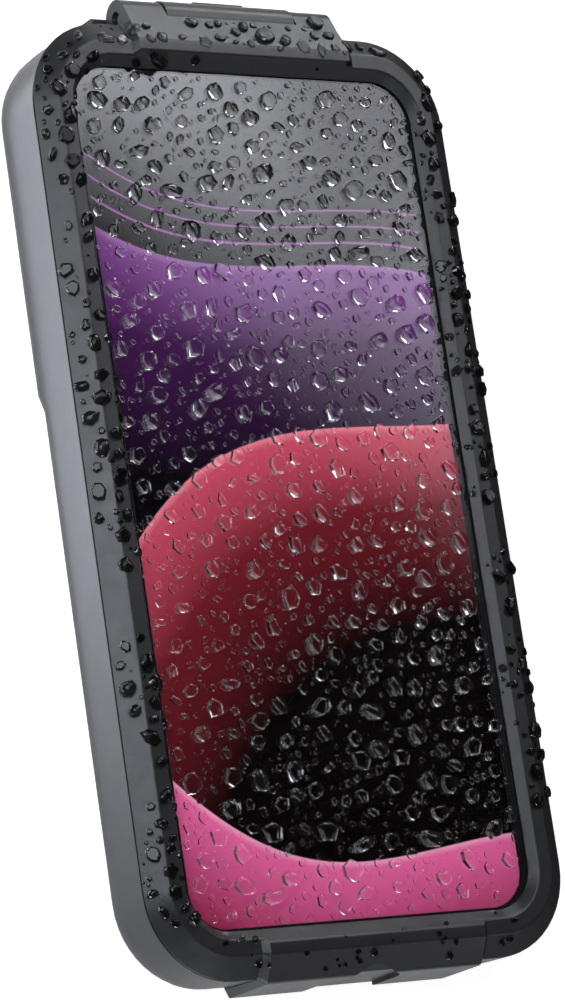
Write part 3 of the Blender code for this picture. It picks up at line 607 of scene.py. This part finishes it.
frame_drops = []
taken = []
for drop_radius in drop_sizes:
    for attempt in range(40):
        gather_x, gather_y = chance.choice(gathers)
        x = gather_x + chance.gauss(0.0, gather_spread)
        y = gather_y + chance.gauss(0.0, gather_spread)
        hit, spot, normal, _ = front_frame.ray_cast(Vector((x, y, 0.03)), Vector((0.0, 0.0, -1.0)))
        if not hit or spot.z < lowest_foothold or not clear_of(taken, x, y, drop_radius, -drop_overlap):
            continue
        if y < tab_end and (drop_radius > tab_largest_drop or chance.random() < tab_dry_share):
            continue
        sheltered = sheltered_from < y < hinge_end and abs(x) < sheltered_half_width
        if sheltered and chance.random() < sheltered_dry_share:
            continue
        lies, facing, widest_gap = footing(spot, normal, drop_radius)
        if lies and widest_gap < gape_allowed * drop_radius:
            taken.append((x, y, drop_radius))
            height = drop_radius * chance.uniform(rise_low, rise_high) + rise_over_gap * widest_gap
            if y >= hinge_end:
                height *= hinge_end_flattening
            height = min(height, (frame_high.z + 0.0003 - spot.z) / 0.5)
            frame_drops.append((spot - normal * widest_gap * sink_over_gap, facing, drop_radius, height))
            break
near_drops = [drop for drop in frame_drops if drop[0].y < hinge_end]
# The frame's drops are tinted nearly black: painted shade that makes them a darker copy of the window's water.
water_painted_dark = standing_water("water_painted_dark", clearness=0.10, passes=0.05)
set_down(near_drops, "water_drops_frame", "lid", water_painted_dark)

# Drops at the hinge end: the same water, on plastic that faces away from the lamps and is seen at a slant.
# It takes the tone of the wet plastic under it, with the water's own gloss as a coat.
wet_film, wet_tree, wet_shader = new_finish("water_on_hinge_end")
wet_stops = [(0.3, (0.010, 0.010, 0.012)), (0.7, (0.015, 0.015, 0.017))]
wet_tree.links.new(tones(wet_tree, speckle(wet_tree, 300.0, 3.0), wet_stops), wet_shader.inputs["Base Color"])
wet_tree.links.new(spread(wet_tree, speckle(wet_tree, 320.0, 4.0), 0.30, 0.36), wet_shader.inputs["Roughness"])
wet_shader.inputs["IOR"].default_value = 1.38
wet_shader.inputs["Coat Weight"].default_value = 0.4
wet_shader.inputs["Coat IOR"].default_value = 1.333
wet_shader.inputs["Coat Roughness"].default_value = 0.0
far_drops = [drop for drop in frame_drops if drop[0].y >= hinge_end]
set_down(far_drops, "water_drops_hinge_end", "lid", wet_film)
for shape in drop_shapes + bead_shapes:
    bpy.data.objects.remove(shape)

# Floor: a matt white sweep that the case lies on. It is plain white to the camera, and keeps the shadow.
# To gloss and to clear pieces it glows faintly, so that they don't mirror a black studio.
bpy.ops.object.select_all(action="DESELECT")
bpy.ops.mesh.primitive_plane_add(size=6.0, location=(0.0, 0.0, 0.0))
floor = bpy.context.object
floor.name = "floor"
floor_white, floor_tree, floor_shader = new_finish("floor_white")
floor_shader.inputs["Base Color"].default_value = (0.80, 0.80, 0.80, 1.0)
floor_shader.inputs["Roughness"].default_value = 0.9
floor_shader.inputs["Specular IOR Level"].default_value = 0.0
floor_shader.inputs["Emission Color"].default_value = (1.0, 1.0, 1.0, 1.0)
floor_ray = add(floor_tree, "ShaderNodeLightPath").outputs
floor_mirrored = reckon(floor_tree, "MAXIMUM", floor_ray["Is Glossy Ray"], floor_ray["Is Transmission Ray"])
floor_dimmed = reckon(floor_tree, "MULTIPLY", floor_mirrored, 0.30)
floor_level = reckon(floor_tree, "MULTIPLY_ADD", floor_ray["Is Camera Ray"], 0.80, floor_dimmed)
floor_tree.links.new(floor_level, floor_shader.inputs["Emission Strength"])
floor.data.materials.append(floor_white)


# Sheen card: a large soft white card high on the right that only gloss and clear pieces see.
# Its glow ends in a slanting soft edge, which gives the window its grey sheen at the top right.
def hang_card(name, middle, width, length, finish):
    """A level card, unseen by the camera and without a shadow."""
    bpy.ops.object.select_all(action="DESELECT")
    bpy.ops.mesh.primitive_plane_add(size=1.0, location=(0.0, 0.0, 0.0))
    card = bpy.context.object
    card.name = name
    card.data.transform(Matrix.Translation(middle) @ Matrix.Diagonal((width, length, 1.0, 1.0)))
    card.visible_camera = False
    card.visible_shadow = False
    card.data.materials.append(finish)
    return card


def across_card(tree):
    """The card's own coordinates in metres, as X, Y and Z sockets."""
    axes = add(tree, "ShaderNodeSeparateXYZ")
    tree.links.new(add(tree, "ShaderNodeTexCoord").outputs["Object"], axes.inputs["Vector"])
    return axes.outputs


sheen_white, sheen_tree, sheen_shader = new_finish("sheen_white")
sheen_shader.inputs["Base Color"].default_value = (0.0, 0.0, 0.0, 1.0)
sheen_shader.inputs["Specular IOR Level"].default_value = 0.0
sheen_shader.inputs["Emission Color"].default_value = (0.90, 0.91, 1.0, 1.0)
sheen_axes = across_card(sheen_tree)
sheen_slant = reckon(sheen_tree, "MULTIPLY_ADD", sheen_axes["X"], 0.90, sheen_axes["Y"])
sheen_fall = spread(sheen_tree, sheen_slant, 0.0, 4.2, 0.52, 0.68, "SMOOTHSTEP")
sheen_side = spread(sheen_tree, sheen_axes["X"], 2.3, 0.8, 0.33, 0.44)
sheen_ray = add(sheen_tree, "ShaderNodeLightPath")
sheen_through = spread(sheen_tree, sheen_ray.outputs["Is Transmission Ray"], 1.0, 0.45, 0.0, 1.0)
sheen_level = reckon(sheen_tree, "MULTIPLY", reckon(sheen_tree, "MULTIPLY", sheen_fall, sheen_side), sheen_through)
sheen_tree.links.new(sheen_level, sheen_shader.inputs["Emission Strength"])
sheen_card = hang_card("sheen_card", (0.44, 0.30, 0.60), 0.38, 0.70, sheen_white)
sheen_card.visible_diffuse = False

# Glow card: a white strip on the floor to the left, brighter towards the hinge.
# The left wall mirrors it, and so runs from pale at the hinge to dark at the closing tab.
glow_white, glow_tree, glow_shader = new_finish("glow_white")
glow_shader.inputs["Base Color"].default_value = (0.8, 0.8, 0.8, 1.0)
glow_shader.inputs["Emission Color"].default_value = (0.88, 0.91, 1.0, 1.0)
glow_level = spread(glow_tree, across_card(glow_tree)["Y"], 0.4, 3.3, -0.090, 0.010, "SMOOTHSTEP")
glow_tree.links.new(glow_level, glow_shader.inputs["Emission Strength"])
hang_card("glow_card", (-0.094, 0.01, 0.0004), 0.092, 0.30, glow_white)

# Flag card: a matt black sheet on the floor to the right.
# The frame's outer faces on that side mirror it and stay dark.
flag_black, flag_tree, flag_shader = new_finish("flag_black")
flag_shader.inputs["Base Color"].default_value = (0.05, 0.05, 0.05, 1.0)
flag_shader.inputs["Specular IOR Level"].default_value = 0.0
hang_card("flag_card", (0.176, 0.0, 0.0004), 0.256, 0.40, flag_black)


# Lamps: soft boxes low on the left and at both ends, a large one overhead, and a small one for glints.
# A dim white studio fills in, and is plain white where the camera sees it.
def soft_lamp(name, place, aim, width, length, watts, tint=(1.0, 1.0, 1.0)):
    """A rectangular soft box that faces the given point."""
    lamp_data = bpy.data.lights.new(name, "AREA")
    lamp_data.shape = "RECTANGLE"
    lamp_data.size = width
    lamp_data.size_y = length
    lamp_data.energy = watts
    lamp_data.color = tint
    lamp = bpy.data.objects.new(name, lamp_data)
    scene.collection.objects.link(lamp)
    lamp.location = place
    lamp.rotation_euler = (Vector(aim) - Vector(place)).to_track_quat("-Z", "Y").to_euler()


cool = (0.95, 0.97, 1.0)
soft_lamp("left_lamp", (-0.29, 0.08, 0.030), (-0.04, 0.03, 0.01), 0.30, 0.05, watts=0.85, tint=(0.87, 0.91, 1.0))
soft_lamp("side_lamp", (-0.42, 0.11, 0.50), (-0.04, 0.0, 0.01), 0.26, 0.26, watts=1.40, tint=(0.88, 0.92, 1.0))
soft_lamp("hinge_lamp", (0.25, 0.44, 0.15), (0.0, 0.09, 0.01), 0.24, 0.05, watts=0.62, tint=cool)
soft_lamp("latch_lamp", (-0.10, -0.45, 0.05), (0.0, -0.09, 0.01), 0.30, 0.08, watts=1.9, tint=cool)
soft_lamp("top_lamp", (-0.15, 0.40, 0.65), (0.0, 0.0, 0.0), 0.50, 0.50, watts=1.5)
soft_lamp("glint_lamp", (0.45, -0.45, 0.35), (0.0, 0.0, 0.01), 0.035, 0.035, watts=0.12)

world = bpy.data.worlds.new("studio")
scene.world = world
world.use_nodes = True
world_tree = world.node_tree
backdrop = world_tree.nodes["Background"]
backdrop.inputs["Color"].default_value = (1.0, 1.0, 1.0, 1.0)
world_ray = add(world_tree, "ShaderNodeLightPath")
world_level = spread(world_tree, world_ray.outputs["Is Camera Ray"], 0.08, 1.0, 0.0, 1.0)
world_tree.links.new(world_level, backdrop.inputs["Strength"])
